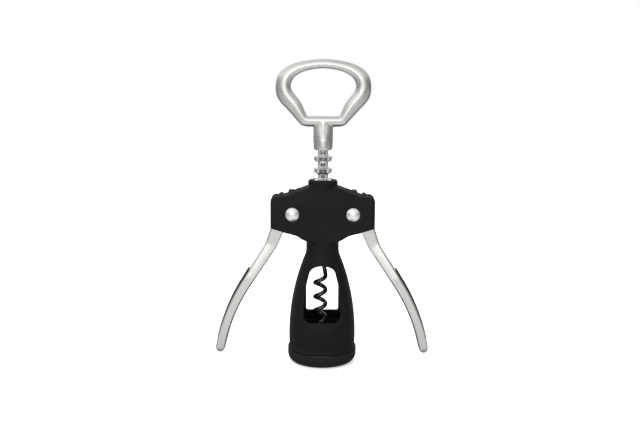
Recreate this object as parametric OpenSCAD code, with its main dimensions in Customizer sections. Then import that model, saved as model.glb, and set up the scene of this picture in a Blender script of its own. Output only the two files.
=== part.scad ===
// Wing corkscrew with a bell-shaped body, two geared levers and a cap-lifter handle.
// Millimetres, +Z up. The origin is the middle of the resting face of the base ring.
// The pieces are drawn as they stand at rest, with the levers hanging a little open.

/* [Bell] */
// Outer radius of the bell at its widest
bell_r = 20.2; // [19.2:0.1:22]
// Height of the widest point of the bell
bell_widest_z = 17.6; // [14:0.2:22]
// Radius of the long curve that draws the bell in towards the waist
bell_curve_r = 130; // [110:1:160]
// Radius of the waist between the bell and the head
waist_r = 9.95; // [9.2:0.05:11]
// Radius of the hollow curve that ends the bell at the waist
waist_fillet_r = 10; // [5:0.5:14]
// Wall of the bell over the worm's turns
bell_wall = 3.8; // [2.6:0.1:4.6]
// How much wider than the bottle bore the bell is hollowed above the sleeve
relief = 1.2; // [0.8:0.1:1.6]
// Height of the wider hollow above the sleeve
relief_h = 16; // [10:0.5:18]
// How far the bead at the foot of the bell stands proud
bead_step = 0.75; // [0.3:0.05:1.5]
// Height of the bead at the foot of the bell
bead_h = 2.6; // [1.6:0.1:4]

/* [Base ring] */
// Height of the base ring under the bell
base_ring_h = 8; // [6:0.2:10]
// Height of the rounded lower edge of the base ring
base_round_h = 5.6; // [2.5:0.1:6.4]
// Width of the locating tab at the front of the ring's upper edge
tab_w = 11; // [6:0.5:14]
// How far the locating tab stands up into the bell
tab_h = 0.6; // [0.3:0.05:0.8]
// Width of the flat foot between the bore's chamfer and the rounded edge
foot_land = 1; // [0.6:0.1:2]
// Radius of the bore that takes the bottle neck
bottle_bore_r = 15; // [14:0.1:15.6]
// Wall of the sleeve that carries the bottle bore up into the bell
sleeve_wall = 2; // [1.4:0.1:2.4]
// Height of the top of the sleeve
sleeve_top_z = 22; // [18:0.2:24]
// Depth of the lead-in chamfer at the bottle's mouth of the bore
mouth_chamfer = 0.6; // [0.4:0.1:1.6]

/* [Window] */
// Height of the crest of the window sill
sill_z = 27.8; // [26.4:0.1:30]
// Drop from the crest of the sill to its outer lip
sill_drop = 3.6; // [1:0.1:4]
// Drop from the crest of the sill in to the bottle bore
sill_dip = 1.4; // [0.2:0.1:1.6]
// Depth of the bevel round the window
bevel_depth = 1.4; // [0.8:0.1:2.2]
// Half width of the window at the inner edge
window_half_w = 9.9; // [8.5:0.1:10.8]
// How much wider the front window is above its sill, on each side
window_toe = 1.3; // [0.1:0.1:1.4]
// How much wider the back window is above its sill, on each side
back_toe = 0.1; // [0.1:0.1:1.4]
// How much wider the window is at its outer lip, on each side
window_flare = 2; // [1:0.1:3]
// Radius of the lower corners of the front window
front_corner_r = 3.8; // [1:0.1:4]
// Radius of the lower corners of the back window
back_corner_r = 1.4; // [1:0.1:4]
// Height of the crown of the window
window_top_z = 61.3; // [56:0.1:62.4]
// Height of the rounded part of the window's crown
window_crown_h = 5.2; // [4:0.1:8]
// Half width of the window just under its crown
window_crown_half_w = 7.8; // [7:0.1:9]

/* [Head] */
// Height of the lever pivots
pivot_z = 92.3; // [88:0.1:98]
// Half of the depth of the head, front to back
head_half_depth = 9.9; // [9.4:0.1:11]
// Half of the depth of the head along the crest of its shoulders
shoulder_half_depth = 4.9; // [4.7:0.1:6]
// Reach of the cheeks outwards from the pivots
cheek_reach = 13.2; // [12.4:0.1:14]
// Drop from the pivots to the lower outer corners of the head
cheek_drop = 8.6; // [7.5:0.1:10]
// Drop from the pivots to the inner end of the head's underside
underside_drop = 18; // [17:0.1:19]
// Rise from the pivots to the outer shoulders
shoulder_rise = 10.8; // [10.2:0.1:12]
// Rise from the pivots to the top of the collar
collar_rise = 20.2; // [19:0.1:23]
// Outer radius of the collar
collar_r = 9; // [8.6:0.05:9.3]
// Radius of the guide bore for the rack
guide_bore_r = 6.2; // [6.1:0.05:6.4]
// Wall of the bush in the collar
bush_wall = 1; // [0.7:0.05:1.2]
// Length of the bush in the collar
bush_len = 7.6; // [6:0.2:8]
// Width of the slots that hold the levers
slot_w = 6.8; // [6.6:0.1:7.2]

/* [Gearing] */
// Pitch of the annular rack teeth
tooth_pitch = 7.1; // [6.9:0.02:7.3]
// Teeth that a whole gear would have
gear_teeth = 12; // [12:1:12]
// Teeth on each lever's sector
sector_teeth = 6; // [6:1:6]
// Pressure angle of the teeth
pressure_angle = 25; // [20:0.5:28]
// Radius of the rack's pitch line
rack_pitch_r = 4.64; // [4.5:0.02:4.8]
// Height of the rack teeth above their pitch line
rack_addendum = 0.8; // [0.5:0.02:0.84]
// Depth of the rack teeth below their pitch line
rack_dedendum = 1.34; // [1.3:0.02:1.6]
// Height of the gear teeth above their pitch circle
gear_addendum = 0.56; // [0.5:0.02:1]
// Play between the flanks of the teeth
backlash = 0.3; // [0.2:0.02:0.5]
// Annular teeth on the rack
rack_teeth = 7; // [7:1:7]
// Rise from the pivots to the topmost rack tooth
top_tooth_rise = 32.8; // [32.4:0.1:33.2]

/* [Pivots] */
// Radius of the pivot pins
pin_r = 2.5; // [2:0.05:3]
// Radius of the stud inside each pivot pin
stud_r = 1.5; // [1:0.05:1.7]
// Radius of the domed heads of the pivots
dome_r = 4.3; // [3.8:0.05:4.8]
// Height of the domed heads of the pivots
dome_h = 1.9; // [1.2:0.05:2.4]
// Depth of the recesses that the domed heads sit in
recess_depth = 0.6; // [0.3:0.05:1]
// Wall of the bush in each lever's hub
hub_bush_wall = 1.1; // [0.8:0.05:1.4]
// Thickness of the washers beside each hub
washer_t = 0.5; // [0.3:0.05:0.6]
// Running clearance of the hinge pins and the spindle, on the radius
running_gap = 0.05; // [0.02:0.01:0.09]
// Free play beside each hub, on each side
side_gap = 0.12; // [0.08:0.01:0.2]

/* [Levers] */
// Thickness of the gear web between the lever's ears
web_t = 2.4; // [2:0.1:2.8]
// Radius of the ears round the hub
ear_r = 8.4; // [7.8:0.1:8.8]
// Angle of the lever's neck from the vertical
neck_angle = 21.5; // [18:0.5:26]
// Length of the lever's neck
neck_len = 12.5; // [9:0.5:14]
// Length of the bend between the neck and the straight part
bend_len = 2; // [1:0.5:6]
// Angle of the lever's straight part from the vertical
arm_angle = 33; // [30:0.5:36]
// Length of the lever's straight part
arm_len = 26.5; // [20:0.5:30]
// Angle of the lever's tip from the vertical
tip_angle = 9; // [6:0.5:14]
// Length of the curve that ends in the lever's tip
blade_len = 46.5; // [38:0.5:48]
// Thickness of the lever at its neck
neck_t = 8.4; // [7.4:0.1:9]
// Thickness of the lever in its straight part
arm_t = 6.5; // [5.6:0.1:7.4]
// Thickness of the lever at its tip
tip_t = 5.5; // [4.6:0.1:6.2]
// Half width of the lever across its thumb pad
blade_half_w = 6.4; // [5.4:0.1:7.2]
// Distance along the lever to the start of the thumb pad
pad_start = 33; // [28:0.5:36]
// Length of the thumb pad
pad_len = 46; // [34:0.5:48]
// How far the thumb pad stands proud of the lever at its upper end
pad_rise = 0.95; // [0.6:0.05:1.6]
// How deep the thumb pad is let into the lever
pad_seat = 0.6; // [0.5:0.05:1.2]
// Radius of the rivets that join each lever to its gear
rivet_r = 0.9; // [0.6:0.05:1]

/* [Handle] */
// Radius of the handle's stem
stem_r = 5.85; // [5.5:0.05:6]
// Length of the handle's stem, up to the loop
stem_len = 14.4; // [13:0.2:17]
// Gap from the topmost rack tooth up to the stem
stem_rise = 4.9; // [4.6:0.1:5.4]
// Half width of the loop
loop_half_w = 28.3; // [26:0.1:30]
// Height of the loop
loop_h = 39.8; // [37:0.1:43]
// Half of the loop's depth at its sides, front to back
loop_half_depth = 3.9; // [3.2:0.1:4.6]

/* [Spindle and worm] */
// Radius of the spindle inside the rack
spindle_r = 1.75; // [1.5:0.05:1.9]
// Radius of the pin that holds the spindle in the handle
cross_pin_r = 1; // [0.7:0.05:1.2]
// Outer radius of the ferrule that joins the worm to the spindle
ferrule_r = 3.1; // [2.7:0.05:3.3]
// Length of the ferrule
ferrule_len = 7.5; // [6:0.1:9]
// Radius of the worm's wire
wire_r = 1.35; // [1.2:0.05:1.45]
// Outer radius of the worm
worm_r = 4.5; // [4.2:0.05:4.8]
// Pitch of the worm
worm_pitch = 8.8; // [8:0.1:9.4]
// Turns of the worm, from its point to its straight shank
worm_turns = 3.5; // [3:0.5:4]
// How far the turns of the worm sit to the left of the axis
worm_lean = 1.2; // [0:0.1:1.4]
// Height of the worm's point
worm_tip_z = 22.4; // [18:0.1:26]
// Length of ground taper at the worm's point, in turns
point_turns = 0.55; // [0.4:0.05:0.8]

/* [Hidden] */
$fn = 96;
clearance = 0.3;
// sides of the worm's wire, points round a lever's or the loop's section
wire_sides = 10;
section_sides = 18;
// how square the lever's section is, and the loop's: 1 is an ellipse, less is squarer
lever_soft = 0.5;
loop_soft = 0.72;

// ---- gearing ----
gear_pitch_r = tooth_pitch * gear_teeth / (2 * PI);
pivot_x = gear_pitch_r + rack_pitch_r;
gear_tip_r = gear_pitch_r + gear_addendum;
gear_root_r = gear_pitch_r - rack_addendum - clearance;
gear_base_r = gear_pitch_r * cos(pressure_angle);
rack_tip_r = rack_pitch_r + rack_addendum;
rack_neck_r = rack_pitch_r - rack_dedendum;
tooth_t = (tooth_pitch - backlash) / 2;
top_tooth_z = pivot_z + top_tooth_rise;
// the gap of the rack that lies nearest the pivots sets the phase of the sectors
gap_z = top_tooth_z - tooth_pitch * (rack_teeth - 2.5);
gear_phase = (gap_z - pivot_z) / gear_pitch_r * 180 / PI;
gear_step = 360 / gear_teeth;
slot_r = gear_tip_r + 0.8;
slot_inset = 4.8;
hub_half_w = slot_w / 2 - washer_t - side_gap;

// ---- body heights and radii ----
cavity_top_z = window_top_z + 1.1;
side_run = 20.5;
tab_depth = 1.7;
bell_end_angle = acos(1 - (bell_r - waist_r) / (bell_curve_r + waist_fillet_r));
head_half_w = pivot_x + cheek_reach;
collar_top_z = pivot_z + collar_rise;
sleeve_r = bottle_bore_r + sleeve_wall;
base_r = bell_r + bead_step;
bush_r = guide_bore_r + bush_wall;

// ---- rack, spindle and handle heights ----
rack_top_z = top_tooth_z + stem_rise - 0.4;
rack_tail = tooth_pitch / 2 - 0.05;
rack_low_z = top_tooth_z - tooth_pitch * (rack_teeth - 1) - rack_tail;
stem_z = top_tooth_z + stem_rise;
loop_z = stem_z + stem_len;
washer_h = 0.8;
spindle_top_z = loop_z - 1.5;
ferrule_top_z = rack_low_z - 0.1;
ferrule_low_z = ferrule_top_z - ferrule_len;
tail_top_z = ferrule_low_z + ferrule_len * 0.6;
worm_line_r = worm_r - wire_r;

// ---- curves and lofts ----
function unit(v) = v / norm(v);

// Turns a list of corners [x, y, corner radius] into an outline with true arcs
function arc_between(c, from, to, steps) =
    let (a = atan2(from.y - c.y, from.x - c.x))
    let (b = atan2(to.y - c.y, to.x - c.x))
    let (sweep = (b - a + 540) % 360 - 180)
    let (r = norm(from - c))
    [for (k = [0:steps]) c + r * [cos(a + sweep * k / steps), sin(a + sweep * k / steps)]];

function corner(before, at, after, r, steps) =
    let (a = unit(before - at))
    let (b = unit(after - at))
    let (half = acos(a * b) / 2)
    let (c = at + unit(a + b) * r / sin(half))
    arc_between(c, at + a * r / tan(half), at + b * r / tan(half), steps);

function flat(p) = [p.x, p.y];

function rounded(pts, steps = 6) =
    let (n = len(pts))
    [for (i = [0:n - 1])
        let (before = flat(pts[(i + n - 1) % n]))
        let (after = flat(pts[(i + 1) % n]))
        each pts[i].z > 0 ? corner(before, flat(pts[i]), after, pts[i].z, steps) : [flat(pts[i])]];

function mirrored(pts) =
    concat(pts, [for (i = [len(pts) - 1:-1:0]) [-pts[i].x, pts[i].y, pts[i].z]]);

// A smooth value between four stations, a quarter of the way of each at a time
function smooth(a, b, c, d, t) =
    ((2 * b) + (c - a) * t + (2 * a - 5 * b + 4 * c - d) * t * t
        + (3 * b - a - 3 * c + d) * t * t * t) / 2;

function signed_power(v, e) = sign(v) * pow(abs(v), e);

// One ring of a loft: a rounded section at p, across u and front to back
function section(p, u, half_t, half_w, soft = 0.8) =
    [for (k = [0:section_sides - 1])
        let (a = 360 * k / section_sides)
        let (across = half_t * signed_power(cos(a), soft))
        let (deep = half_w * signed_power(sin(a), soft))
        [p.x + u.x * across, deep, p.y + u.y * across]];

// Skin over a list of rings that all have the same number of points
module loft(rings, closed = false) {
    n = len(rings[0]);
    m = len(rings);
    pts = [for (ring = rings) each ring];
    last = closed ? m - 1 : m - 2;
    sides = [for (i = [0:last], k = [0:n - 1])
        let (j = (i + 1) % m, l = (k + 1) % n)
        each [[i * n + k, j * n + l, j * n + k], [i * n + k, i * n + l, j * n + l]]];
    low_cap = [[for (k = [n - 1:-1:0]) k]];
    high_cap = [[for (k = [0:n - 1]) (m - 1) * n + k]];
    polyhedron(pts, closed ? sides : concat(sides, low_cap, high_cap), convexity = 8);
}

module on_pivot(side) {
    translate([side * pivot_x, 0, pivot_z]) rotate([90, 0, 0]) children();
}

// ---- the frame ----
// Outer line of the bell, from its foot to the waist, as [radius, height]
function bell_line() = let (steps = 16) concat(
    [for (k = [0:steps])
        let (a = lerp(foot_angle(), bell_end_angle, k / steps))
        [bell_r - bell_curve_r * (1 - cos(a)), bell_widest_z + bell_curve_r * sin(a)]],
    [for (k = [1:6])
        let (a = bell_end_angle * (1 - k / 6))
        [waist_r + waist_fillet_r * (1 - cos(a)), waist_z() - waist_fillet_r * sin(a)]]
);

function lerp(a, b, t) = a + (b - a) * t;

function bell_radius(z) =
    let (a = asin((z - bell_widest_z) / bell_curve_r))
    bell_r - bell_curve_r * (1 - cos(a));

function foot_angle() = -asin((bell_widest_z - base_ring_h - bead_h) / bell_curve_r);

function waist_z() =
    bell_widest_z + (bell_curve_r + waist_fillet_r) * sin(bell_end_angle);

// Inner line of the bell: the wider hollow over the sleeve, then the bell's own curve
// one wall in
function cavity_line() = let (steps = 10, ledge_z = sleeve_top_z + relief_h) concat(
    [[bottle_bore_r + relief, sleeve_top_z], [bottle_bore_r + relief, ledge_z]],
    [for (k = [0:steps])
        let (z = lerp(ledge_z, cavity_top_z, k / steps))
        [bell_radius(z) - bell_wall, z]]
);

module bell() {
    foot = bell_line()[0];
    top = pivot_z - cheek_drop;
    bead = [
        [0, base_ring_h], [base_r - 0.4, base_ring_h], [base_r, base_ring_h + 0.4],
        [base_r, base_ring_h + bead_h * 0.5], [foot.x + 0.15, foot.y - 0.25]
    ];
    rotate_extrude() polygon(concat(bead, bell_line(), [[waist_r, top], [0, top]]));
}

// Outline of the head as seen from the front, its top let down by drop
function head_outline(y, drop) =
    let (shoulder = pivot_z + shoulder_rise - drop)
    [for (p = rounded(mirrored([
        [head_half_w, pivot_z - underside_drop - 2, 0], [head_half_w, shoulder, 3.2],
        [head_half_w - 7.6, shoulder, 8], [collar_r + 0.9, shoulder + 5.4, 1.5],
        [collar_r - 0.8, shoulder + 5.4, 0]
    ]))) [p.x, y, p.y]];

// The faces lean back and round over towards the crest of the shoulders
module head() {
    low = pivot_z - underside_drop;
    faces = [
        [head_half_depth, 7.5], [head_half_depth - 1.2, 2.8], [head_half_depth - 2, 1.2],
        [head_half_depth - 3.3, 0.35], [shoulder_half_depth, 0]
    ];
    reach = head_half_depth + 0.3;
    plan = [[head_half_w, -reach, 3], [head_half_w, reach, 3]];
    underside = [
        [0, low - 1, 0], [waist_r - 0.6, low - 1, 0], [waist_r - 0.6, low + 0.1, 2],
        [lerp(waist_r, head_half_w, 0.13), low + 1.7, 3],
        [lerp(waist_r, head_half_w, 0.34), low + 4.7, 9],
        [head_half_w + 0.8, pivot_z - cheek_drop, 0], [head_half_w + 8, collar_top_z, 0],
        [0, collar_top_z, 0]
    ];
    intersection() {
        loft(concat([for (f = faces) head_outline(-f[0], f[1])],
            [for (i = [len(faces) - 1:-1:0]) head_outline(faces[i][0], faces[i][1])]));
        linear_extrude(collar_top_z + 1) polygon(rounded(mirrored(plan)));
        rotate_extrude() polygon(rounded(underside));
    }
}

// The barrel round the rack swells from the collar into the front of the head
module barrel() {
    rotate_extrude() polygon([
        [0, pivot_z - 8], [waist_r, pivot_z - 8], [head_half_depth, pivot_z + 3],
        [lerp(collar_r, head_half_depth, 0.55), pivot_z + shoulder_rise * 0.9],
        [collar_r, collar_top_z - 5], [collar_r, collar_top_z - 1.1],
        [collar_r - 0.35, collar_top_z - 0.35], [collar_r - 1, collar_top_z], [0, collar_top_z]
    ]);
}

// Each slot clears the gear's circle and the sweep of the arm below and above it
module lever_slot() {
    reach = cheek_reach + 4;
    on_pivot(1) linear_extrude(slot_w, center = true) {
        circle(slot_r);
        translate([-slot_inset, -underside_drop - 6.6])
            square([reach + slot_inset, underside_drop + 6.6]);
        translate([-0.4, 0]) square([reach, shoulder_rise + 6]);
    }
}

// One ring of a window, t from 0 at the crest of its edge to 1 at its outer lip,
// laid on the bell's outer surface moved out by lift
function window_ring(toe, corner_r, t, lift, dip = 0) =
    let (w = window_half_w + toe + window_flare * t)
    let (low = sill_z - sill_drop * t - dip)
    let (mid_w = window_half_w + window_flare * t * 0.15)
    let (side = mirrored([
        [w, low, corner_r + 3 * t], [lerp(w, mid_w, 0.5), sill_z + side_run * 0.45, corner_r * 2],
        [mid_w, sill_z + side_run, side_run / 2]
    ]))
    let (crown = [for (k = [0:12])
        let (a = lerp(8, 172, k / 12))
        [(window_crown_half_w + 0.2 * t) * cos(a),
            window_top_z - window_crown_h + (window_crown_h + 0.2 * t) * sin(a), 0]])
    let (outline = concat([side[0], side[1], side[2]], crown, [side[3], side[4], side[5]]))
    [for (p = rounded(outline, 4))
        let (r = bell_radius(p.y) + lift)
        [p.x, -sqrt(max(4, r * r - p.x * p.x)), p.y]];

// A window's rings, from a flat one outside the bell in to one inside its hollow
function window_rings(toe, corner_r) =
    let (past_wall = bottle_bore_r - bell_r - 0.2)
    let (lip = window_ring(toe, corner_r, 1.25, 0.5))
    [
        [for (p = lip) [p.x, -bell_r - 1, p.z]], lip,
        window_ring(toe, corner_r, 0, -bevel_depth),
        window_ring(toe, corner_r, 0, past_wall, sill_dip)
    ];

// One cut through both walls, from the front outer lip to the one at the back
module window_cut() {
    back = window_rings(back_toe, back_corner_r);
    loft(concat(
        window_rings(window_toe, front_corner_r),
        [for (i = [len(back) - 1:-1:0]) [for (p = back[i]) [p.x, -p.y, p.z]]]
    ));
}

// The locating tab, a piece of the ring's rim; grow is the play left round it
module tab(grow) {
    intersection() {
        rotate_extrude() translate([base_r - tab_depth - grow, base_ring_h - 1])
            square([tab_depth - 0.05 + grow * 10, 1 + tab_h + grow]);
        translate([-tab_w / 2 - grow, -base_r - 1, 0])
            cube([tab_w + 2 * grow, base_r, base_ring_h + 2 * tab_h]);
    }
}

module body_shell() {
    color([0.07, 0.07, 0.075]) difference() {
        union() {
            bell();
            head();
            barrel();
        }
        tab(0.1);
        // hollow of the bell, its socket for the sleeve and the guide bore
        rotate_extrude() polygon(concat(
            [[0, base_ring_h - 1], [sleeve_r, base_ring_h - 1], [sleeve_r, sleeve_top_z]],
            cavity_line(),
            [[guide_bore_r, cavity_top_z + 3], [0, cavity_top_z + 3]]
        ));
        cylinder(r = guide_bore_r, h = collar_top_z + 1);
        translate([0, 0, collar_top_z - bush_len]) cylinder(r = bush_r, h = bush_len + 1);
        window_cut();
        for (side = [0, 1])
            mirror([side, 0, 0]) {
                lever_slot();
                on_pivot(1) cylinder(r = pin_r, h = 4 * head_half_depth, center = true);
                for (face = [-1, 1])
                    on_pivot(1) translate([0, 0, face * (head_half_depth - recess_depth + 5)])
                        cylinder(r = dome_r + 0.4, h = 10, center = true);
            }
    }
}

module base_ring() {
    foot_r = bottle_bore_r + mouth_chamfer + foot_land;
    steps = 9;
    edge = [for (k = [0:steps])
        let (a = 90 * k / steps)
        [lerp(foot_r, base_r, sin(a)), base_round_h * (1 - cos(a))]];
    color([0.1, 0.1, 0.105]) {
        rotate_extrude() polygon(concat(edge, [
            [base_r, base_ring_h - 0.4], [base_r - 0.4, base_ring_h], [sleeve_r, base_ring_h],
            [sleeve_r, sleeve_top_z], [bottle_bore_r, sleeve_top_z],
            [bottle_bore_r, mouth_chamfer], [bottle_bore_r + mouth_chamfer, 0]
        ]));
        tab(0);
    }
}

module collar_bush() {
    color([0.12, 0.12, 0.125]) translate([0, 0, collar_top_z - bush_len])
        rotate_extrude() polygon([
            [guide_bore_r, 0], [bush_r, 0], [bush_r, bush_len - 0.2], [bush_r - 0.2, bush_len],
            [guide_bore_r + 0.3, bush_len], [guide_bore_r, bush_len - 0.3]
        ]);
}

// ---- pivots ----
dome_sphere_r = (dome_r * dome_r + dome_h * dome_h) / (2 * dome_h);

// A domed head that stands on its seat with its top towards -Y
module dome() {
    seat = head_half_depth - recess_depth;
    translate([0, 0, seat]) intersection() {
        cylinder(r = dome_r, h = dome_h + 1);
        translate([0, 0, dome_h - dome_sphere_r + 0.3]) sphere(dome_sphere_r);
    }
}

module pivot_pin(side) {
    seat = head_half_depth - recess_depth;
    color([0.86, 0.86, 0.87]) on_pivot(side) difference() {
        union() {
            dome();
            translate([0, 0, -seat]) cylinder(r = pin_r, h = 2 * seat);
        }
        translate([0, 0, -seat - 1]) cylinder(r = stud_r, h = 2 * seat - 1);
    }
}

module pivot_stud(side) {
    seat = head_half_depth - recess_depth;
    color([0.8, 0.8, 0.81]) on_pivot(side) rotate([180, 0, 0]) {
        dome();
        translate([0, 0, 2.5 - seat]) cylinder(r = stud_r, h = 2 * seat - 2.5);
    }
}

module hub_washers(side) {
    color([0.9, 0.9, 0.86]) on_pivot(side)
        for (face = [-1, 1])
            translate([0, 0, face * (slot_w - washer_t) / 2]) difference() {
                cylinder(r = ear_r - 2, h = washer_t, center = true);
                cylinder(r = pin_r, h = washer_t + 1, center = true);
            }
}

// ---- levers ----
hub_bush_r = pin_r + running_gap + hub_bush_wall;
rivet_ring_r = (hub_bush_r + ear_r) / 2;
web_r = gear_root_r - 0.4;
arm_start = neck_len + bend_len;
lever_len = arm_start + arm_len + blade_len;

function lever_heading(s) = lookup(s, [
    [0, neck_angle], [neck_len, neck_angle], [arm_start, arm_angle],
    [arm_start + arm_len, arm_angle], [lever_len, tip_angle]
]);

function lever_t(s) = lookup(s, [
    [0, neck_t + 0.4], [neck_len, neck_t - 1], [arm_start, arm_t + 0.4],
    [arm_start + arm_len, arm_t - 0.3], [pad_start + pad_len, tip_t + 0.5], [lever_len, tip_t]
]);

function lever_half_w(s) = lookup(s, [
    [0, hub_half_w], [neck_len, hub_half_w], [pad_start + 4, blade_half_w - 0.8],
    [pad_start + pad_len * 0.7, blade_half_w], [lever_len, blade_half_w - 0.8]
]);

// where the middle line of the arm leaves the hub, from the pivot
arm_root = [8.3, -8];

// Middle line of the lever as [x, z, distance] in half-millimetre steps
lever_path = [for (
    s = 0, p = [pivot_x + arm_root.x, pivot_z + arm_root.y];
    s <= lever_len;
    p = p + 0.5 * [sin(lever_heading(s)), -cos(lever_heading(s))], s = s + 0.5
) [p.x, p.y, s]];

function lever_at(s) = flat(lever_path[round(s * 2)]);

function lever_across(s) = [cos(lever_heading(s)), sin(lever_heading(s))];

// The rounded end of the lever draws the section in over the last few millimetres
function tip_share(s) =
    let (left = min(1, (lever_len - s + 0.15) / 3.4))
    sqrt(1 - pow(1 - left, 2));

lever_stations = concat(
    [for (s = [0:3:lever_len - 4]) s],
    [for (left = [3.4, 2.4, 1.4, 0.7, 0.3, 0]) floor((lever_len - left) * 2) / 2]
);

function lever_rings() = [for (s = lever_stations)
    section(lever_at(s), lever_across(s), lever_t(s) / 2 * tip_share(s),
        lever_half_w(s) * lerp(0.55, 1, tip_share(s)), lever_soft)];

// The pad lies on the outer face, thickest at its upper end and fading out below
function pad_rings() = [for (s = [pad_start:pad_len / 12:pad_start + pad_len])
    let (fade = (s - pad_start) / pad_len)
    let (half_w = lever_half_w(s) - 1.2 - 1.6 * pow(max(0, fade - 0.8) / 0.2, 2))
    let (rise = pad_rise * (1 - 0.85 * fade))
    let (u = lever_across(s))
    let (mid = lever_at(s) + u * (lever_t(s) / 2 + (rise - pad_seat) / 2))
    section(mid, u, (rise + pad_seat) / 2, half_w, 0.45)];

module lever_arm() {
    color([0.75, 0.75, 0.76]) difference() {
        union() {
            loft(lever_rings());
            on_pivot(1) linear_extrude(2 * hub_half_w, center = true) {
                circle(ear_r);
                polygon([[0, -ear_r], arm_root + [-5, -5], arm_root + [4.7, -1.4], [ear_r, 0]]);
            }
        }
        // fork for the gear's web, and room round the toothed rim
        on_pivot(1) cylinder(r = web_r, h = web_t, center = true);
        on_pivot(1) cylinder(r = hub_bush_r, h = 2 * slot_w, center = true);
        rivet_places() cylinder(r = rivet_r, h = 2 * slot_w, center = true);
        loft(pad_rings());
    }
}

module rivet_places() {
    for (a = [-40, 80, 200])
        on_pivot(1) rotate([0, 0, a]) translate([rivet_ring_r, 0, 0]) children();
}

// Flank of a gear tooth: the involute as an angle away from the tooth's middle
function roll(r) = sqrt(pow(r / gear_base_r, 2) - 1) * 180 / PI - acos(gear_base_r / r);

function flank_angle(r) =
    tooth_t / gear_pitch_r / 2 * 180 / PI + roll(gear_pitch_r) - roll(r);

function polar(r, a) = [r * cos(a), r * sin(a)];

module gear_tooth() {
    steps = 5;
    foot_r = gear_root_r + 0.05;
    half = flank_angle(foot_r);
    radii = [for (k = [0:steps]) lerp(foot_r, gear_tip_r, k / steps)];
    low = [for (r = radii) polar(r, -flank_angle(r))];
    high = [for (k = [steps:-1:0]) polar(radii[k], flank_angle(radii[k]))];
    polygon(concat([polar(foot_r - 1, -half)], low, high, [polar(foot_r - 1, half)]));
}

module gear_sector() {
    first = 180 - gear_phase + gear_step;
    last = first - gear_step * (sector_teeth - 1);
    margin = gear_step * 0.4;
    sweep = [for (k = [0:2 * sector_teeth])
        polar(2 * gear_tip_r, lerp(first + margin, last - margin, k / sector_teeth / 2))];
    color([0.1, 0.1, 0.11]) difference() {
        on_pivot(1) {
            cylinder(r = web_r, h = web_t, center = true);
            // toothed rim, as wide as the hub
            linear_extrude(2 * hub_half_w, center = true) {
                intersection() {
                    difference() {
                        circle(gear_root_r);
                        circle(ear_r);
                    }
                    polygon(concat(sweep, [[0, 0]]));
                }
                for (i = [0:sector_teeth - 1])
                    rotate(first - i * gear_step) gear_tooth();
            }
        }
        on_pivot(1) cylinder(r = hub_bush_r, h = 2 * slot_w, center = true);
        rivet_places() cylinder(r = rivet_r, h = 2 * slot_w, center = true);
    }
}

module hub_bush() {
    color([0.72, 0.55, 0.3]) on_pivot(1) difference() {
        cylinder(r = hub_bush_r, h = 2 * hub_half_w, center = true);
        cylinder(r = pin_r + running_gap, h = 2 * slot_w, center = true);
    }
}

module lever_rivets() {
    color([0.7, 0.7, 0.71]) rivet_places() cylinder(r = rivet_r, h = 2 * hub_half_w, center = true);
}

module thumb_pad() {
    color([0.08, 0.08, 0.085]) loft(pad_rings());
}

module handed(side) {
    if (side < 0) mirror([1, 0, 0]) children();
    else children();
}

// ---- rack ----
module rack_sleeve() {
    foot = rack_pitch_r - rack_neck_r;
    base = tooth_t / 2 + foot * tan(pressure_angle);
    land = tooth_t / 2 - rack_addendum * tan(pressure_angle);
    color([0.82, 0.82, 0.84]) rotate_extrude() difference() {
        union() {
            translate([0, rack_low_z]) square([rack_neck_r, rack_top_z - rack_low_z]);
            for (i = [0:rack_teeth - 1])
                translate([0, top_tooth_z - i * tooth_pitch]) polygon([
                    [0, -base], [rack_neck_r, -base], [rack_tip_r, -land],
                    [rack_tip_r, land], [rack_neck_r, base], [0, base]
                ]);
        }
        square([spindle_r + running_gap, 2 * top_tooth_z]);
    }
}

// ---- handle ----
// Stations of the loop from its crown round to the cap lifter's lip, one side:
// inner x, inner height, outer x, outer height, as shares of the loop's half width
// and height, then the half depth as a share of the depth at the sides
loop_stations = [
    [0, 0.854, 0, 1, 0.8], [0.33, 0.824, 0.46, 0.962, 0.84], [0.545, 0.758, 0.755, 0.888, 0.92],
    [0.655, 0.675, 0.94, 0.77, 1], [0.682, 0.588, 1.003, 0.61, 1], [0.635, 0.505, 0.985, 0.46, 1],
    [0.55, 0.432, 0.9, 0.352, 1], [0.475, 0.36, 0.78, 0.26, 1], [0.425, 0.285, 0.665, 0.172, 0.98],
    [0.37, 0.195, 0.555, 0.083, 0.95], [0.325, 0.158, 0.435, 0.004, 0.92],
    [0.15, 0.155, 0.21, -0.012, 0.92], [0, 0.155, 0, -0.012, 0.92]
];

function loop_station(i) =
    let (n = len(loop_stations) - 1)
    let (k = abs((i + 4 * n) % (2 * n) - n))
    let (turned = (i + 4 * n) % (2 * n) >= n)
    let (s = loop_stations[n - k])
    let (side = turned ? -1 : 1)
    [side * s[0], s[1], side * s[2], s[3], s[4]];

function loop_rings() = let (n = 2 * (len(loop_stations) - 1)) [for (i = [0:n - 1], t = [0:2])
    let (s = smooth(loop_station(i - 1), loop_station(i), loop_station(i + 1),
        loop_station(i + 2), t / 3))
    let (inner = [s[0] * loop_half_w, loop_z + s[1] * loop_h])
    let (outer = [s[2] * loop_half_w, loop_z + s[3] * loop_h])
    section((inner + outer) / 2, unit(outer - inner), norm(outer - inner) / 2,
        loop_half_depth * s[4], loop_soft)];

// The stem flattens towards the lip, as height from the loop's foot and half depth as
// a share of the stem's radius
stem_flats = [[-9.5, 1.03], [-5, 0.93], [-2, 0.8], [0, 0.71], [3, 0.6]];
// The ridge on both its faces, spread along the lip above and narrow below, as height
// from the loop's foot, half width and half depth as shares of the stem's radius
ridge_rings = [
    [3.6, 1.8, 0.55], [2.2, 1.5, 0.65], [0.6, 1.05, 0.76], [-1.4, 0.6, 0.87],
    [-5, 0.3, 0.985], [-9.5, 0.12, 0.93]
];
ridge_soft = 1.25;

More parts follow.
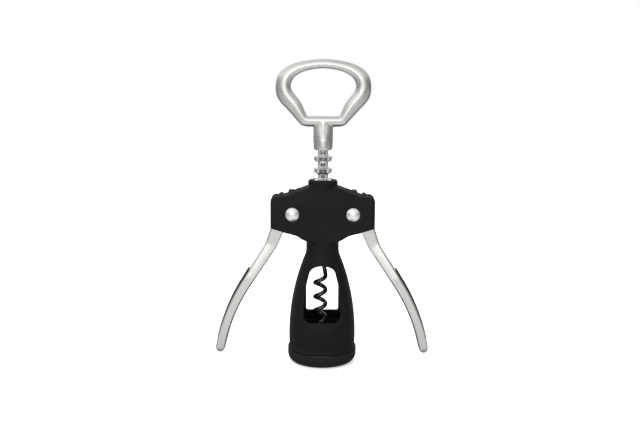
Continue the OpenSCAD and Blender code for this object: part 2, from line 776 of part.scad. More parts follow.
module stem() {
    half = concat(
        [[stem_r + 1, stem_z - 1], [stem_r + 1, loop_z - 10]],
        [for (f = stem_flats) [stem_r * f[1], loop_z + f[0]]]
    );
    intersection() {
        rotate_extrude() polygon([
            [0, stem_z], [stem_r - 1.3, stem_z], [stem_r - 0.5, stem_z + 0.8],
            [stem_r, stem_z + 2.2], [stem_r, loop_z - 0.6], [stem_r - 2.2, loop_z + 1.6],
            [0, loop_z + 2.4]
        ]);
        rotate([90, 0, 90]) linear_extrude(4 * stem_r, center = true)
            polygon(concat(half, [for (i = [len(half) - 1:-1:0]) [-half[i].x, half[i].y]]));
    }
}

module handle() {
    color([0.76, 0.76, 0.77]) difference() {
        union() {
            loft(loop_rings(), closed = true);
            stem();
            loft([for (r = ridge_rings)
                section([0, loop_z + r[0]], [1, 0], stem_r * r[1], stem_r * r[2], ridge_soft)]);
        }
        translate([0, 0, stem_z - 1]) cylinder(r = spindle_r, h = spindle_top_z - stem_z + 1);
        translate([0, 0, stem_z - 1]) cylinder(r = stem_r - 1.8, h = washer_h + 1);
        cross_pin_place() cylinder(r = cross_pin_r, h = 4 * stem_r, center = true);
    }
}

module cross_pin_place() {
    translate([0, 0, loop_z - 5]) rotate([0, 90, 0]) children();
}

module cross_pin() {
    color([0.7, 0.7, 0.72]) cross_pin_place()
        cylinder(r = cross_pin_r, h = 2 * stem_r - 0.4, center = true);
}

module thrust_washer() {
    color([0.9, 0.9, 0.86]) translate([0, 0, stem_z]) difference() {
        cylinder(r = stem_r - 1.8, h = washer_h);
        translate([0, 0, -1]) cylinder(r = spindle_r, h = washer_h + 2);
    }
}

module spindle() {
    color([0.66, 0.66, 0.68]) difference() {
        translate([0, 0, tail_top_z]) cylinder(r = spindle_r, h = spindle_top_z - tail_top_z);
        cross_pin_place() cylinder(r = cross_pin_r, h = 4 * stem_r, center = true);
    }
}

module worm_ferrule() {
    color([0.6, 0.6, 0.62]) difference() {
        rotate_extrude() polygon([
            [0, ferrule_low_z], [wire_r + 0.5, ferrule_low_z], [ferrule_r, ferrule_low_z + 1.6],
            [ferrule_r, ferrule_top_z], [0, ferrule_top_z]
        ]);
        translate([0, 0, tail_top_z]) cylinder(r = spindle_r, h = ferrule_len);
        translate([0, 0, ferrule_low_z - 1]) cylinder(r = wire_r, h = ferrule_len);
    }
}

// ---- worm ----
// The helix rises from the point on the left and ends on the right, and from
// there the wire stands up and leans in to the axis
worm_steps = 20;
shank_steps = 16;
shank_z = worm_tip_z + worm_pitch * worm_turns;

// Place on the worm's circle at angle a, drawn in to the axis by share
function on_circle(a, z, share = 1) =
    [share * (worm_line_r * cos(a) - worm_lean), share * worm_line_r * sin(a), z];

function worm_angle(turns) = 180 + 360 * turns;

function worm_wire(turns) = wire_r * lerp(0.12, 1, min(1, turns / point_turns));

worm_line = [for (k = [0:worm_turns * worm_steps])
    let (t = k / worm_steps)
    [on_circle(worm_angle(t), worm_tip_z + worm_pitch * t), worm_wire(t)]];

worm_shank = [for (k = [1:shank_steps])
    let (way = k / shank_steps)
    let (turn_on = 40 * (1 - pow(1 - min(1, 3 * way), 2)))
    [on_circle(worm_angle(worm_turns) + turn_on, lerp(shank_z, ferrule_low_z, way), 1 - way * way),
        wire_r]];

worm_path = concat(worm_line, worm_shank, [[[0, 0, tail_top_z], wire_r]]);

// A ring square to the way from the point before to the point after
function wire_ring(i) =
    let (n = len(worm_path))
    let (p = worm_path[i][0])
    let (way = unit(worm_path[min(n - 1, i + 1)][0] - worm_path[max(0, i - 1)][0]))
    let (run = i >= n - 2 ? [0, 0, 1] : way)
    let (angle = worm_angle(min(i / worm_steps, worm_turns)))
    let (radial = [cos(angle), sin(angle), 0])
    let (side = unit(cross(run, radial)))
    let (out = cross(side, run))
    [for (k = [0:wire_sides - 1])
        let (a = 360 * k / wire_sides)
        p + worm_path[i][1] * (out * cos(a) + side * sin(a))];

module worm() {
    color([0.05, 0.05, 0.055]) loft([for (i = [0:len(worm_path) - 1]) wire_ring(i)]);
}

// least gap between turns of the worm, measured on the points of its middle line
worm_gap = min([for (i = [0:2:len(worm_line) - 1], j = [i + worm_steps / 2:2:len(worm_line) - 1])
    norm(worm_line[i][0] - worm_line[j][0])]) - 2 * wire_r;
echo(worm_least_gap_mm = worm_gap);

body_shell();
base_ring();
collar_bush();
pivot_pin(-1);  // left_pivot_pin
pivot_pin(1);  // right_pivot_pin
pivot_stud(-1);  // left_pivot_stud
pivot_stud(1);  // right_pivot_stud
hub_washers(-1);  // left_hub_washers
hub_washers(1);  // right_hub_washers
handed(-1) lever_arm();  // left_lever_arm
handed(1) lever_arm();  // right_lever_arm
handed(-1) gear_sector();  // left_gear_sector
handed(1) gear_sector();  // right_gear_sector
handed(-1) hub_bush();  // left_hub_bush
handed(1) hub_bush();  // right_hub_bush
handed(-1) lever_rivets();  // left_lever_rivets
handed(1) lever_rivets();  // right_lever_rivets
handed(-1) thumb_pad();  // left_thumb_pad
handed(1) thumb_pad();  // right_thumb_pad
rack_sleeve();
handle();
thrust_washer();
spindle();
cross_pin();
worm_ferrule();
worm();
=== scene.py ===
"""Wing corkscrew: the finished look of each piece round the fixed frame, in metres."""

import math

import bmesh
import bpy
from mathutils import Matrix, Vector

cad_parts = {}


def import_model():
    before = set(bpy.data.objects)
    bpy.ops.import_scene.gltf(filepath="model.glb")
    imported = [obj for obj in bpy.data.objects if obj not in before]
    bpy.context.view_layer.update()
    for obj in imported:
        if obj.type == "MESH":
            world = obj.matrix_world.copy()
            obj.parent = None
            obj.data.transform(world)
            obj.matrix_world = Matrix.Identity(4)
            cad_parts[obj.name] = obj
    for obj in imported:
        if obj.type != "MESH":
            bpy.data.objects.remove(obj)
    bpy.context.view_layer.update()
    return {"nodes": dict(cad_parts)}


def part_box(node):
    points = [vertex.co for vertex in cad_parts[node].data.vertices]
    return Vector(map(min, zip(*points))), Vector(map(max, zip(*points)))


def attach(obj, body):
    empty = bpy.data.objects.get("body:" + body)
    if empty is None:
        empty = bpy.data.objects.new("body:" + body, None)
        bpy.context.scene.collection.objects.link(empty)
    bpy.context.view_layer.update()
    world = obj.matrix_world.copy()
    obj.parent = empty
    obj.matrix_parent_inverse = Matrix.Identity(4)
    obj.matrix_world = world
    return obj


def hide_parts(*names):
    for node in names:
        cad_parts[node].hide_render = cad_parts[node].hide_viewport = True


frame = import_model()
MM = 0.001


# ---- places taken from the frame ----
def middle(node):
    low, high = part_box(node)
    return (low + high) / 2


PIVOT = middle("right_hub_bush")
FOOT_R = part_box("base_ring")[1].x / MM
STEM_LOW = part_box("handle")[0].z / MM
RACK_LOW, RACK_TOP = (corner.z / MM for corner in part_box("rack_sleeve"))


# ---- shaping ----
def only(obj):
    bpy.ops.object.select_all(action="DESELECT")
    obj.select_set(True)
    bpy.context.view_layer.objects.active = obj


def smoothed(obj, angle):
    """Smooth shading but for the edges sharper than the angle, in degrees."""
    only(obj)
    bpy.ops.object.shade_smooth_by_angle(angle=math.radians(angle))


def swept(name, rings, closed=False, smooth_angle=40):
    """Extrudes a circle through rings of points, then caps its ends or joins them."""
    bpy.ops.object.select_all(action="DESELECT")
    bpy.ops.mesh.primitive_circle_add(vertices=len(rings[0]), radius=1, fill_type="NOTHING")
    obj = bpy.context.object
    obj.name = name
    bpy.ops.object.mode_set(mode="EDIT")
    bpy.ops.mesh.select_all(action="SELECT")
    mesh = bmesh.from_edit_mesh(obj.data)
    mesh.verts.ensure_lookup_table()
    for vert, place in zip(mesh.verts, rings[0]):
        vert.co = place
    current = list(range(len(rings[0])))
    for ring in rings[1:]:
        bpy.ops.mesh.extrude_region_move()
        mesh = bmesh.from_edit_mesh(obj.data)
        mesh.verts.ensure_lookup_table()
        grown = []
        for index, place in zip(current, ring):
            old = mesh.verts[index]
            new = next(e.other_vert(old) for e in old.link_edges if e.other_vert(old).select)
            new.co = place
            grown.append(new)
        mesh.verts.index_update()
        current = [vert.index for vert in grown]
    first = set(range(len(rings[0])))
    ends = [first | set(current)] if closed else [first, set(current)]
    for end in ends:
        bpy.ops.mesh.select_all(action="DESELECT")
        mesh = bmesh.from_edit_mesh(obj.data)
        for vert in mesh.verts:
            vert.select = vert.index in end
        mesh.select_flush(True)
        bmesh.update_edit_mesh(obj.data)
        if closed:
            bpy.ops.mesh.bridge_edge_loops()
        else:
            bpy.ops.mesh.edge_face_add()
    bpy.ops.mesh.select_all(action="SELECT")
    bpy.ops.mesh.normals_make_consistent(inside=False)
    bpy.ops.object.mode_set(mode="OBJECT")
    smoothed(obj, smooth_angle)
    return obj


def turned(name, line, sides=96, closed=False, place=None, smooth_angle=40):
    """A lathe-turned piece: line holds [radius, height] in millimetres."""
    place = place or Matrix()
    rings = []
    for radius, height in line:
        ring = []
        for k in range(sides):
            a = 2 * math.pi * k / sides
            spot = Vector((radius * math.cos(a), radius * math.sin(a), height)) * MM
            ring.append(place @ spot)
        rings.append(ring)
    return swept(name, rings, closed, smooth_angle)


def arc(cx, cz, r, start, end, steps):
    """Points of an arc as [radius, height], angles in degrees."""
    return [
        [
            cx + r * math.cos(math.radians(start + (end - start) * k / steps)),
            cz + r * math.sin(math.radians(start + (end - start) * k / steps)),
        ]
        for k in range(steps + 1)
    ]


def apply_modifier(obj, kind, **settings):
    only(obj)
    modifier = obj.modifiers.new(kind.lower(), kind)
    for key, value in settings.items():
        setattr(modifier, key, value)
    bpy.ops.object.modifier_apply(modifier=modifier.name)


def cut(obj, other, operation="DIFFERENCE"):
    """Takes the other solid out of the piece, adds it, or keeps what both hold."""
    apply_modifier(obj, "BOOLEAN", operation=operation, object=other, solver="EXACT")
    bpy.data.objects.remove(other, do_unlink=True)


def joined(name, pieces):
    bpy.ops.object.select_all(action="DESELECT")
    for piece in pieces:
        piece.select_set(True)
    bpy.context.view_layer.objects.active = pieces[0]
    bpy.ops.object.join()
    obj = bpy.context.object
    obj.name = name
    return obj


def cast(obj, grain, rounds):
    """Gives a solid the soft corners of a moulding or a casting."""
    apply_modifier(obj, "REMESH", mode="VOXEL", voxel_size=grain, adaptivity=0)
    apply_modifier(obj, "SMOOTH", factor=0.5, iterations=rounds)
    only(obj)
    bpy.ops.object.shade_smooth()
    return obj


def taken_from(node, name):
    """A merged copy of a node's shape, to be worked on."""
    source = frame["nodes"][node]
    obj = source.copy()
    obj.data = source.data.copy()
    obj.name = name
    obj.parent = None
    obj.matrix_world = Matrix()
    obj.data.materials.clear()
    bpy.context.scene.collection.objects.link(obj)
    only(obj)
    bpy.ops.object.mode_set(mode="EDIT")
    bpy.ops.mesh.select_all(action="SELECT")
    bpy.ops.mesh.remove_doubles(threshold=1e-6)
    bpy.ops.object.mode_set(mode="OBJECT")
    return obj


def cylinder(name, centre, radius, length, axis="Y", sides=64):
    bpy.ops.object.select_all(action="DESELECT")
    turn = {"Y": (math.pi / 2, 0, 0), "Z": (0, 0, 0)}[axis]
    bpy.ops.mesh.primitive_cylinder_add(
        vertices=sides, radius=radius, depth=length, location=centre, rotation=turn
    )
    bpy.ops.object.transform_apply(location=True, rotation=True, scale=True)
    bpy.context.object.name = name
    return bpy.context.object


def mirrored_copy(obj, name):
    """The left-hand twin of a right-hand piece."""
    twin = obj.copy()
    twin.data = obj.data.copy()
    twin.name = name
    bpy.context.scene.collection.objects.link(twin)
    for vert in twin.data.vertices:
        vert.co.x = -vert.co.x
    only(twin)
    bpy.ops.object.mode_set(mode="EDIT")
    bpy.ops.mesh.select_all(action="SELECT")
    bpy.ops.mesh.flip_normals()
    bpy.ops.object.mode_set(mode="OBJECT")
    return twin


def signed_power(v, e):
    return math.copysign(abs(v) ** e, v)


def section(centre, across, half_t, half_w, soft, sides, lean=0.0):
    """A rounded cross-section: half_t along across, half_w front to back, its crest off centre."""
    ring = []
    for k in range(sides):
        a = 2 * math.pi * k / sides
        u = half_t * (signed_power(math.cos(a), soft) - lean * math.sin(a) ** 2)
        v = half_w * signed_power(math.sin(a), soft)
        ring.append(Vector((centre[0] + across[0] * u, v, centre[1] + across[1] * u)) * MM)
    return ring


def looked_up(x, table):
    if x <= table[0][0]:
        return table[0][1]
    for (x0, y0), (x1, y1) in zip(table, table[1:]):
        if x <= x1:
            return y0 + (y1 - y0) * (x - x0) / (x1 - x0)
    return table[-1][1]


def eased(x, table):
    """Like looked_up, with the corners between its stretches rounded off."""
    spread = 1.2
    return sum(looked_up(x + spread * k / 3, table) for k in range(-3, 4)) / 7


# ---- finishes ----
def group_socket(tree, name, kind, way, value=None):
    made = tree.interface.new_socket(name=name, in_out=way, socket_type=kind)
    if value is not None:
        made.default_value = value


def worn_finish():
    """Shared group: fine grain, broad clouding and sparse rubbed marks, each 0 to 1."""
    tree = bpy.data.node_groups.new("worn_finish", "ShaderNodeTree")
    group_socket(tree, "Vector", "NodeSocketVector", "INPUT")
    group_socket(tree, "Grain Size", "NodeSocketFloat", "INPUT", 2500.0)
    group_socket(tree, "Cloud Size", "NodeSocketFloat", "INPUT", 60.0)
    group_socket(tree, "Mark Size", "NodeSocketFloat", "INPUT", 260.0)
    for name in ("Grain", "Cloud", "Marks"):
        group_socket(tree, name, "NodeSocketFloat", "OUTPUT")
    nodes, links = tree.nodes, tree.links
    source = nodes.new("NodeGroupInput")
    result = nodes.new("NodeGroupOutput")
    for size, target, detail in (("Grain Size", "Grain", 3), ("Cloud Size", "Cloud", 4)):
        noise = nodes.new("ShaderNodeTexNoise")
        noise.inputs["Detail"].default_value = detail
        links.new(source.outputs["Vector"], noise.inputs["Vector"])
        links.new(source.outputs[size], noise.inputs["Scale"])
        links.new(noise.outputs["Fac"], result.inputs[target])
    stretch = nodes.new("ShaderNodeMapping")
    stretch.inputs["Scale"].default_value = (1.0, 1.0, 0.18)
    stretch.inputs["Rotation"].default_value = (0.3, 0.5, 0.2)
    links.new(source.outputs["Vector"], stretch.inputs["Vector"])
    marks = nodes.new("ShaderNodeTexNoise")
    marks.inputs["Detail"].default_value = 5
    marks.inputs["Roughness"].default_value = 0.7
    links.new(stretch.outputs["Vector"], marks.inputs["Vector"])
    links.new(source.outputs["Mark Size"], marks.inputs["Scale"])
    sparse = nodes.new("ShaderNodeMapRange")
    sparse.inputs["From Min"].default_value = 0.6
    sparse.inputs["From Max"].default_value = 0.72
    links.new(marks.outputs["Fac"], sparse.inputs["Value"])
    links.new(sparse.outputs["Result"], result.inputs["Marks"])
    return tree


WORN = worn_finish()


def finish(name, colour, clouded, metallic, rough, bump=0.0, grain=2500.0, cloud=60.0,
           marks=260.0, mark_rough=0.06, specular=0.5, coat=0.0):
    """A procedural finish: colour drifts to clouded, roughness runs over rough (low, high)."""
    mat = bpy.data.materials.new(name)
    mat.use_nodes = True
    mat.diffuse_color = (*colour, 1)
    nodes, links = mat.node_tree.nodes, mat.node_tree.links
    shader = nodes["Principled BSDF"]
    shader.inputs["Metallic"].default_value = metallic
    shader.inputs["Specular IOR Level"].default_value = specular
    shader.inputs["IOR"].default_value = 1.45
    shader.inputs["Coat Weight"].default_value = coat
    shader.inputs["Coat Roughness"].default_value = 0.1
    place = nodes.new("ShaderNodeTexCoord")
    wear = nodes.new("ShaderNodeGroup")
    wear.node_tree = WORN
    wear.inputs["Grain Size"].default_value = grain
    wear.inputs["Cloud Size"].default_value = cloud
    wear.inputs["Mark Size"].default_value = marks
    links.new(place.outputs["Object"], wear.inputs["Vector"])
    tint = nodes.new("ShaderNodeMix")
    tint.data_type = "RGBA"
    tint.inputs["A"].default_value = (*colour, 1)
    tint.inputs["B"].default_value = (*clouded, 1)
    links.new(wear.outputs["Cloud"], tint.inputs["Factor"])
    links.new(tint.outputs["Result"], shader.inputs["Base Color"])
    spread = nodes.new("ShaderNodeMapRange")
    spread.inputs["From Min"].default_value = 0.3
    spread.inputs["From Max"].default_value = 0.7
    spread.inputs["To Min"].default_value = rough[0]
    spread.inputs["To Max"].default_value = rough[1]
    links.new(wear.outputs["Grain"], spread.inputs["Value"])
    rubbed = nodes.new("ShaderNodeMath")
    rubbed.operation = "MULTIPLY_ADD"
    rubbed.inputs[1].default_value = mark_rough
    links.new(wear.outputs["Marks"], rubbed.inputs[0])
    links.new(spread.outputs["Result"], rubbed.inputs[2])
    links.new(rubbed.outputs["Value"], shader.inputs["Roughness"])
    if bump:
        relief = nodes.new("ShaderNodeBump")
        relief.inputs["Strength"].default_value = 1.0
        relief.inputs["Distance"].default_value = bump
        links.new(wear.outputs["Grain"], relief.inputs["Height"])
        links.new(relief.outputs["Normal"], shader.inputs["Normal"])
    return mat


SOFT_TOUCH = finish("soft_touch_black", (0.0072, 0.0072, 0.0074), (0.0092, 0.009, 0.0089), 0,
                    (0.44, 0.54), bump=0.000006, grain=1500, cloud=45, specular=0.12)
BASE_BLACK = finish("base_black", (0.0088, 0.0088, 0.009), (0.0108, 0.0107, 0.0106), 0,
                    (0.34, 0.44), bump=0.000004, grain=1600, cloud=50, specular=0.3)
SATIN = finish("satin_metal", (0.62, 0.615, 0.60), (0.68, 0.675, 0.66), 1,
               (0.25, 0.29), grain=500, cloud=40, marks=220, mark_rough=0.03)
PEARL = finish("pearl_metal", (0.86, 0.86, 0.85), (0.9, 0.9, 0.89), 1,
               (0.29, 0.33), grain=500, cloud=60, marks=240, mark_rough=0.03)
POLISHED = finish("polished_metal", (0.83, 0.83, 0.825), (0.88, 0.88, 0.875), 1,
                  (0.07, 0.11), bump=0.0000015, grain=1800, cloud=80, mark_rough=0.08)
WORM_COAT = finish("worm_coat", (0.012, 0.012, 0.013), (0.018, 0.018, 0.019), 0,
                   (0.14, 0.22), bump=0.000004, grain=1500, cloud=90, specular=0.6, coat=0.5)
GEAR_BLACK = finish("black_gear", (0.016, 0.016, 0.017), (0.026, 0.025, 0.025), 0.2,
                    (0.36, 0.5), bump=0.000008, grain=1600, cloud=120)
PAD_BLACK = finish("pad_black", (0.011, 0.011, 0.012), (0.016, 0.016, 0.016), 0,
                   (0.45, 0.6), bump=0.000012, grain=1500, cloud=70, specular=0.35)
NYLON = finish("nylon", (0.74, 0.73, 0.68), (0.79, 0.78, 0.73), 0, (0.4, 0.55), grain=1200)
BRONZE = finish("bush_bronze", (0.55, 0.4, 0.22), (0.64, 0.47, 0.27), 1, (0.25, 0.4), grain=1400)
BUSH_BLACK = finish("bush_black", (0.014, 0.014, 0.0145), (0.02, 0.02, 0.02), 0, (0.3, 0.42),
                    bump=0.000005, grain=1800)


def dress(obj, mat, body, nodes=()):
    obj.data.materials.clear()
    obj.data.materials.append(mat)
    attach(obj, body)
    if nodes:
        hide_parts(*nodes)


def coat_node(node, mat):
    obj = frame["nodes"][node]
    obj.data.materials.clear()
    obj.data.materials.append(mat)


# ---- body shell ----
SHELL_GRAIN = 0.45 * MM
shell = cast(taken_from("body_shell", "shell"), SHELL_GRAIN, 3)
dress(shell, SOFT_TOUCH, "frame", ["body_shell"])

# ---- base ring ----
BORE_R, LAND_R, SLEEVE_R = 15.0, 16.6, 17.0
EDGE_H, RIM_Z, SLEEVE_TOP = 5.6, 7.97, 22.0
RIM_ROUND, SLEEVE_EDGE = 0.35, 0.2
TAB_HALF_W, TAB_DEPTH, TAB_EDGE = 5.5, 1.7, 0.14
TAB_LOW, TAB_TOP = 7.0, 8.6
rolled_edge = [
    [
        LAND_R + (FOOT_R - LAND_R) * math.sin(math.radians(a)),
        EDGE_H * (1 - math.cos(math.radians(a))),
    ]
    for a in range(0, 91, 6)
]
ring_line = (
    rolled_edge
    + [[FOOT_R, 7.5]]
    + arc(FOOT_R - RIM_ROUND, RIM_Z - RIM_ROUND, RIM_ROUND, 0, 90, 5)
    + [[SLEEVE_R + 0.02, RIM_Z], [SLEEVE_R, 8.2]]
    + [[SLEEVE_R, SLEEVE_TOP - SLEEVE_EDGE], [SLEEVE_R - SLEEVE_EDGE, SLEEVE_TOP]]
    + [[BORE_R + SLEEVE_EDGE, SLEEVE_TOP], [BORE_R, SLEEVE_TOP - SLEEVE_EDGE]]
    + [[BORE_R, 0.6], [BORE_R + 0.25, 0.25], [BORE_R + 0.6, 0.0]]
)
base = turned("foot_ring", ring_line, sides=128, closed=True, smooth_angle=35)


def tab_ring(a):
    """The tab's section at an angle from the front: a strip of the rim, its edges broken."""
    inner, outer = FOOT_R - TAB_DEPTH, FOOT_R - 0.05
    line = [
        (inner, TAB_LOW), (outer, TAB_LOW), (outer, TAB_TOP - TAB_EDGE),
        (outer - TAB_EDGE, TAB_TOP), (inner + TAB_EDGE, TAB_TOP), (inner, TAB_TOP - TAB_EDGE),
    ]
    return [Vector((r * math.sin(a), -r * math.cos(a), z)) * MM for r, z in line]


tab_sweep = TAB_HALF_W / FOOT_R
cut(base, swept("tab", [tab_ring(tab_sweep * k / 8) for k in range(-8, 9)]), "UNION")
smoothed(base, 35)
dress(base, BASE_BLACK, "frame", ["base_ring"])

# ---- rack ----
PITCH, RACK_TEETH = 7.1, 7
TOP_TOOTH = 125.1
NECK_R, TIP_R, BORE = 3.3, 5.44, 1.8
HALF_ROOT, HALF_LAND = 2.32, 1.33  # half the height of a ring at its root and at its rim
EDGE = 0.14
rack_line = [[BORE, RACK_LOW], [NECK_R - 0.2, RACK_LOW], [NECK_R, RACK_LOW + 0.2]]
for i in range(RACK_TEETH - 1, -1, -1):
    z = TOP_TOOTH - i * PITCH
    rack_line += [
        [NECK_R, z - HALF_ROOT - 0.12],
        [NECK_R + 0.1, z - HALF_ROOT + 0.05],
        [TIP_R - EDGE * 0.9, z - HALF_LAND - EDGE * 0.6],
        [TIP_R, z - HALF_LAND + EDGE],
        [TIP_R, z + HALF_LAND - EDGE],
        [TIP_R - EDGE * 0.9, z + HALF_LAND + EDGE * 0.6],
        [NECK_R + 0.1, z + HALF_ROOT - 0.05],
        [NECK_R, z + HALF_ROOT + 0.12],
    ]
rack_line += [[NECK_R, RACK_TOP - 0.2], [NECK_R - 0.2, RACK_TOP], [BORE, RACK_TOP]]
rack = turned("ringed_rack", rack_line, sides=96, closed=True, smooth_angle=18)
dress(rack, POLISHED, "rack", ["rack_sleeve"])

# ---- handle ----
LOOP_Z = 144.4
LOOP_W, LOOP_H, LOOP_D = 28.3, 39.8, 3.9
LOOP = [  # inner x, inner height, outer x, outer height, depth, as shares
    [0, 0.854, 0, 1, 0.8], [0.33, 0.824, 0.46, 0.962, 0.84], [0.545, 0.758, 0.755, 0.888, 0.92],
    [0.655, 0.675, 0.94, 0.77, 1], [0.682, 0.588, 1.003, 0.61, 1], [0.635, 0.505, 0.985, 0.46, 1],
    [0.55, 0.432, 0.9, 0.352, 1], [0.475, 0.36, 0.78, 0.26, 1], [0.425, 0.285, 0.665, 0.172, 0.98],
    [0.37, 0.195, 0.555, 0.083, 0.95], [0.325, 0.158, 0.435, 0.004, 0.92],
    [0.15, 0.155, 0.21, -0.012, 0.92], [0, 0.155, 0, -0.012, 0.92],
]
LOOP_STEPS, RIDGE_STEPS = 8, 5
LOOP_SOFT, LOOP_LEAN = 0.95, 0.12
STEM_R = 5.85
SPINDLE_BORE_R, SPINDLE_BORE_LEN = 1.76, 17
WASHER_SEAT_R, WASHER_SEAT_LEN = 4.06, 1.6
HANDLE_GRAIN = 0.27 * MM
# the stem's neck: height from the loop's foot, half depth as a share of the stem's radius
NECKING = [(-12, 0.99), (-8, 0.99), (-5, 0.93), (-2, 0.8), (0, 0.71), (2.4, 0.62)]
RIDGE = [  # height from the loop's foot, half width and half depth as shares of the stem's radius
    [3.6, 1.2, 0.62], [2.2, 0.8, 0.67], [0.6, 0.6, 0.72], [-1.4, 0.5, 0.8], [-5, 0.44, 0.95],
    [-9.5, 0.4, 1.0], [-13.0, 0.4, 0.98],
]


def smooth(a, b, c, d, t):
    """A smooth way from b to c, with a before and d after them."""
    return (2 * b + (c - a) * t + (2 * a - 5 * b + 4 * c - d) * t * t
            + (3 * b - a - 3 * c + d) * t ** 3) / 2


def loop_station(i):
    """A row of LOOP, from the top down the right side and then up the left one."""
    n = len(LOOP) - 1
    j = i % (2 * n)
    side = -1 if j >= n else 1
    s = LOOP[n - abs(j - n)]
    return [side * s[0], s[1], side * s[2], s[3], s[4]]


def loop_ring(i, t):
    four = [loop_station(i + k) for k in (-1, 0, 1, 2)]
    s = [smooth(*column, t) for column in zip(*four)]
    inner = Vector((s[0] * LOOP_W, LOOP_Z + s[1] * LOOP_H))
    outer = Vector((s[2] * LOOP_W, LOOP_Z + s[3] * LOOP_H))
    across = outer - inner
    return section((inner + outer) / 2, across.normalized(), across.length / 2, LOOP_D * s[4],
                   LOOP_SOFT, 44, LOOP_LEAN)


loop = swept(
    "loop",
    [loop_ring(i, k / LOOP_STEPS) for i in range(2 * (len(LOOP) - 1)) for k in range(LOOP_STEPS)],
    closed=True,
)
stem = turned(
    "stem",
    [[0.4, STEM_LOW], [STEM_R - 1.2, STEM_LOW], [STEM_R - 0.55, STEM_LOW + 0.35],
     [STEM_R - 0.15, STEM_LOW + 1.1], [STEM_R, STEM_LOW + 2.2], [STEM_R, LOOP_Z - 8.4],
     [STEM_R - 0.2, LOOP_Z - 8], [0.4, LOOP_Z - 8]],
    sides=96,
)
necking = swept("necking", [
    section((0, LOOP_Z + z), (1, 0), STEM_R, STEM_R * share, 1.0, 96) for z, share in NECKING
])


def ridge_ring(step):
    i, t = divmod(step / RIDGE_STEPS, 1)
    four = [RIDGE[max(0, min(len(RIDGE) - 1, int(i) + k))] for k in (-1, 0, 1, 2)]
    z, half_w, half_d = [smooth(*column, t) for column in zip(*four)]
    return section((0, LOOP_Z + z), (1, 0), STEM_R * half_w, STEM_R * half_d, 1.0, 40)


ridge = swept("ridge", [ridge_ring(k) for k in range((len(RIDGE) - 1) * RIDGE_STEPS + 1)])
handle = cast(joined("cast_handle", [loop, stem, necking, ridge]), HANDLE_GRAIN, 9)
for name, middle_z, radius, length in (
    ("spindle_bore", STEM_LOW + 5, SPINDLE_BORE_R, SPINDLE_BORE_LEN),
    ("washer_seat", STEM_LOW, WASHER_SEAT_R, WASHER_SEAT_LEN),
):
    cut(handle, cylinder(name, (0, 0, middle_z * MM), radius * MM, length * MM, "Z"))
smoothed(handle, 50)
dress(handle, SATIN, "screw", ["handle"])

# ---- levers ----
NECK_ANGLE, NECK_LEN, BEND_LEN = 21.5, 12.5, 2.0
ARM_ANGLE, ARM_LEN = 33.0, 26.5
TIP_ANGLE, BLADE_LEN = 9.0, 46.5
NECK_T, ARM_T, TIP_T = 8.4, 6.5, 5.5
HUB_HALF_W, BLADE_HALF_W = 2.78, 6.4
PAD_START, PAD_LEN, PAD_RISE, PAD_SEAT = 33.0, 46.0, 0.95, 0.6
EAR_R, HUB_BORE_R = 8.4, 3.66
FORK_R, FORK_W = 12.06, 2.4  # the slot in the hub that holds the gear sector
RIVET_R, RIVET_RING_R = 0.91, 6.025
BLADE_SOFT, PAD_SOFT = 0.36, 0.45
ROUND_TIP = 3.4
ARM_START = NECK_LEN + BEND_LEN
ARM_END = ARM_START + ARM_LEN
LEVER_LEN = ARM_END + BLADE_LEN
HEADING = [(0, NECK_ANGLE), (NECK_LEN, NECK_ANGLE), (ARM_START, ARM_ANGLE), (ARM_END, ARM_ANGLE),
           (LEVER_LEN, TIP_ANGLE)]
THICKNESS = [(0, NECK_T + 0.4), (NECK_LEN, NECK_T - 1), (ARM_START, ARM_T + 0.4),
             (ARM_END, ARM_T - 0.3), (PAD_START + PAD_LEN, TIP_T + 0.5), (LEVER_LEN, TIP_T)]
HALF_WIDTH = [(0, HUB_HALF_W), (NECK_LEN, HUB_HALF_W), (PAD_START + 4, BLADE_HALF_W - 0.8),
              (PAD_START + PAD_LEN * 0.7, BLADE_HALF_W), (LEVER_LEN, BLADE_HALF_W - 0.8)]
ARM_ROOT = (8.3, -8)  # the start of the lever's middle line, from the pivot
THROUGH = 20  # longer than any hole across the lever
STEP = 0.5

lever_path = []
x, z = PIVOT.x / MM + ARM_ROOT[0], PIVOT.z / MM + ARM_ROOT[1]
for k in range(int(LEVER_LEN / STEP) + 1):
    lever_path.append((x, z))
    turn = math.radians(looked_up(k * STEP, HEADING))
    x += STEP * math.sin(turn)
    z -= STEP * math.cos(turn)


def lever_at(s):
    return Vector(lever_path[min(len(lever_path) - 1, round(s / STEP))])


def lever_across(s):
    turn = math.radians(looked_up(s, HEADING))
    return Vector((math.cos(turn), math.sin(turn)))


def tip_share(s):
    """The share of the thickness that the tip's rounding leaves: 1 before it, near 0 at the end."""
    left = min(1, (LEVER_LEN - s + 0.15) / ROUND_TIP)
    return math.sqrt(max(0, 1 - (1 - left) ** 2))


def blade_ring(s):
    share = tip_share(s)
    return section(lever_at(s), lever_across(s), eased(s, THICKNESS) / 2 * share,
                   eased(s, HALF_WIDTH) * (0.55 + 0.45 * share), BLADE_SOFT, 60)


stations = list(range(int(LEVER_LEN) - 3))
stations += [LEVER_LEN - STEP * k for k in range(7, -1, -1)]
lever = swept("lever", [blade_ring(s) for s in stations])
hub = cylinder("hub", PIVOT, EAR_R * MM, 2 * HUB_HALF_W * MM)
